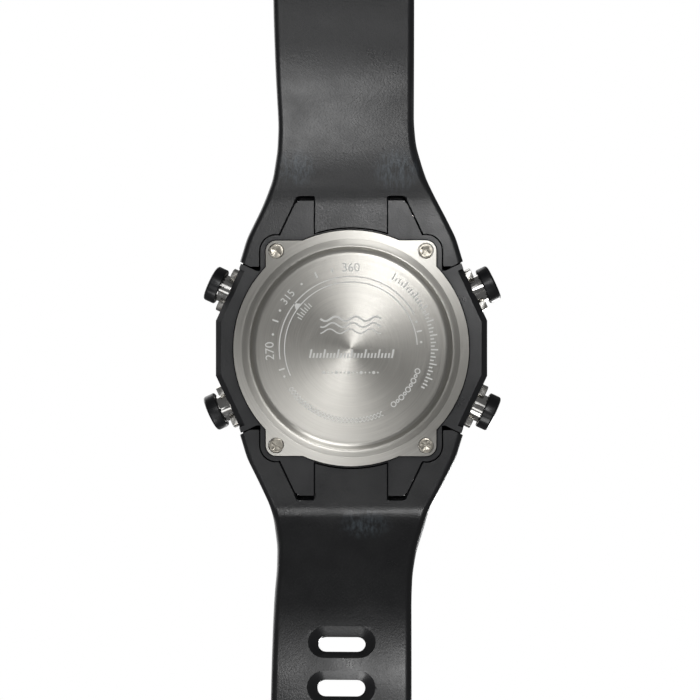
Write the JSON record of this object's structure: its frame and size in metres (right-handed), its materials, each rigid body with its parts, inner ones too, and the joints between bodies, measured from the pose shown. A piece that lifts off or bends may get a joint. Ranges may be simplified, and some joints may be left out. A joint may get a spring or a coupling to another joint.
{
  "type": "wrist dive computer",
  "caption": "Wrist-worn dive computer: resin case with round display, steel screwed back, radial push buttons, hinged rubber strap halves and pin buckle.",
  "frame": {"origin": "centre of the wrist face of the steel case back, in its plane", "axes": "+Z out of the display, +Y to 12 o'clock (buckle end of the strap), +X to 3 o'clock"},
  "size_m": [0.056, 0.2507, 0.034],
  "materials": {
    "case_resin": "satin moulded resin",
    "case_steel": "circular brushed",
    "bezel_steel": "brushed",
    "polished_steel": "polished",
    "guard_steel": "turned",
    "screw_steel": "bright",
    "spring_steel": "drawn wire",
    "brass": "plain",
    "glass": "clear",
    "lcd": "grey-green cell",
    "light_guide": "clear white",
    "seal_rubber": "plain",
    "connector": "striped elastomer",
    "strap_rubber": "satin, moulded",
    "cap_plastic": "semi-gloss",
    "inner_plastic": "plain",
    "dial_plastic": "matt print",
    "board": "solder mask",
    "chip": "moulded",
    "battery_steel": "nickel plated",
    "film": "film"
  },
  "bodies": {
    "case": {"case_body": "case_resin", "bezel_ring": "bezel_steel", "crystal": "glass", "crystal_gasket": "seal_rubber", "dial_flange": "dial_plastic", "lcd_glass": "lcd", "backlight_panel": "light_guide", "lcd_connectors": "connector", "module_frame": "inner_plastic", "main_board": "board", "board_chips": "chip", "battery": "battery_steel", "battery_clip": "spring_steel", "battery_insulator": "film", "buzzer": "brass", "buzzer_spring": "spring_steel", "pressure_sensor": "battery_steel", "sensor_gasket": "seal_rubber", "sensor_cover": "guard_steel", "case_back": "case_steel", "case_back_gasket": "seal_rubber", "case_back_screws": "screw_steel", "screw_inserts": "brass", "switch_contacts": "brass", "button_tubes": "guard_steel", "button_seals": "seal_rubber", "button_spring_1": "spring_steel", "button_spring_2": "spring_steel", "button_spring_3": "spring_steel", "button_spring_4": "spring_steel", "strap_pin_upper": "polished_steel", "strap_pin_lower": "polished_steel"},
    "button_1": {"button_cap_1": "cap_plastic", "button_stem_1": "polished_steel", "button_clip_1": "spring_steel"},
    "button_2": {"button_cap_2": "cap_plastic", "button_stem_2": "polished_steel", "button_clip_2": "spring_steel"},
    "button_3": {"button_cap_3": "cap_plastic", "button_stem_3": "polished_steel", "button_clip_3": "spring_steel"},
    "button_4": {"button_cap_4": "cap_plastic", "button_stem_4": "polished_steel", "button_clip_4": "spring_steel"},
    "strap_12": {"buckle_strap": "strap_rubber"},
    "strap_6": {"hole_strap": "strap_rubber"},
    "keeper": {"keeper_loop": "strap_rubber"},
    "buckle": {"buckle_frame": "polished_steel", "buckle_pin": "polished_steel"},
    "tongue": {"buckle_tongue": "polished_steel"}
  },
  "joints": [
    {"name": "button_1_press", "type": "slide", "parent": "case", "child": "button_1", "axis": [-0.9063, -0.4226, 0], "range_m": [0, 0.0008], "stiffness_N_per_m": 1500, "deforming": ["button_spring_1"]},
    {"name": "button_2_press", "type": "slide", "parent": "case", "child": "button_2", "axis": [-0.9063, 0.4226, 0], "range_m": [0, 0.0008], "stiffness_N_per_m": 1500, "deforming": ["button_spring_2"]},
    {"name": "button_3_press", "type": "slide", "parent": "case", "child": "button_3", "axis": [0.9063, 0.4226, 0], "range_m": [0, 0.0008], "stiffness_N_per_m": 1500, "deforming": ["button_spring_3"]},
    {"name": "button_4_press", "type": "slide", "parent": "case", "child": "button_4", "axis": [0.9063, -0.4226, 0], "range_m": [0, 0.0008], "stiffness_N_per_m": 1500, "deforming": ["button_spring_4"]},
    {"name": "strap_12_pivot", "type": "hinge", "parent": "case", "child": "strap_12", "pos_m": [0, 0.0246, 0.0025], "axis": [1, 0, 0], "range_deg": [0, 10], "stiffness_Nm_per_rad": 0.6},
    {"name": "strap_6_pivot", "type": "hinge", "parent": "case", "child": "strap_6", "pos_m": [0, -0.0246, 0.0025], "axis": [-1, 0, 0], "range_deg": [0, 10], "stiffness_Nm_per_rad": 0.6},
    {"name": "keeper_slide", "type": "slide", "parent": "strap_12", "child": "keeper", "axis": [0, 1, 0], "range_m": [-0.003, 0.003]},
    {"name": "buckle_pivot", "type": "hinge", "parent": "strap_12", "child": "buckle", "pos_m": [0, 0.09263, -0.0171], "axis": [1, 0, 0], "range_deg": [-25, 40]},
    {"name": "tongue_pivot", "type": "hinge", "parent": "buckle", "child": "tongue", "pos_m": [0, 0.09263, -0.0171], "axis": [1, 0, 0], "range_deg": [0, 80]}
  ]
}
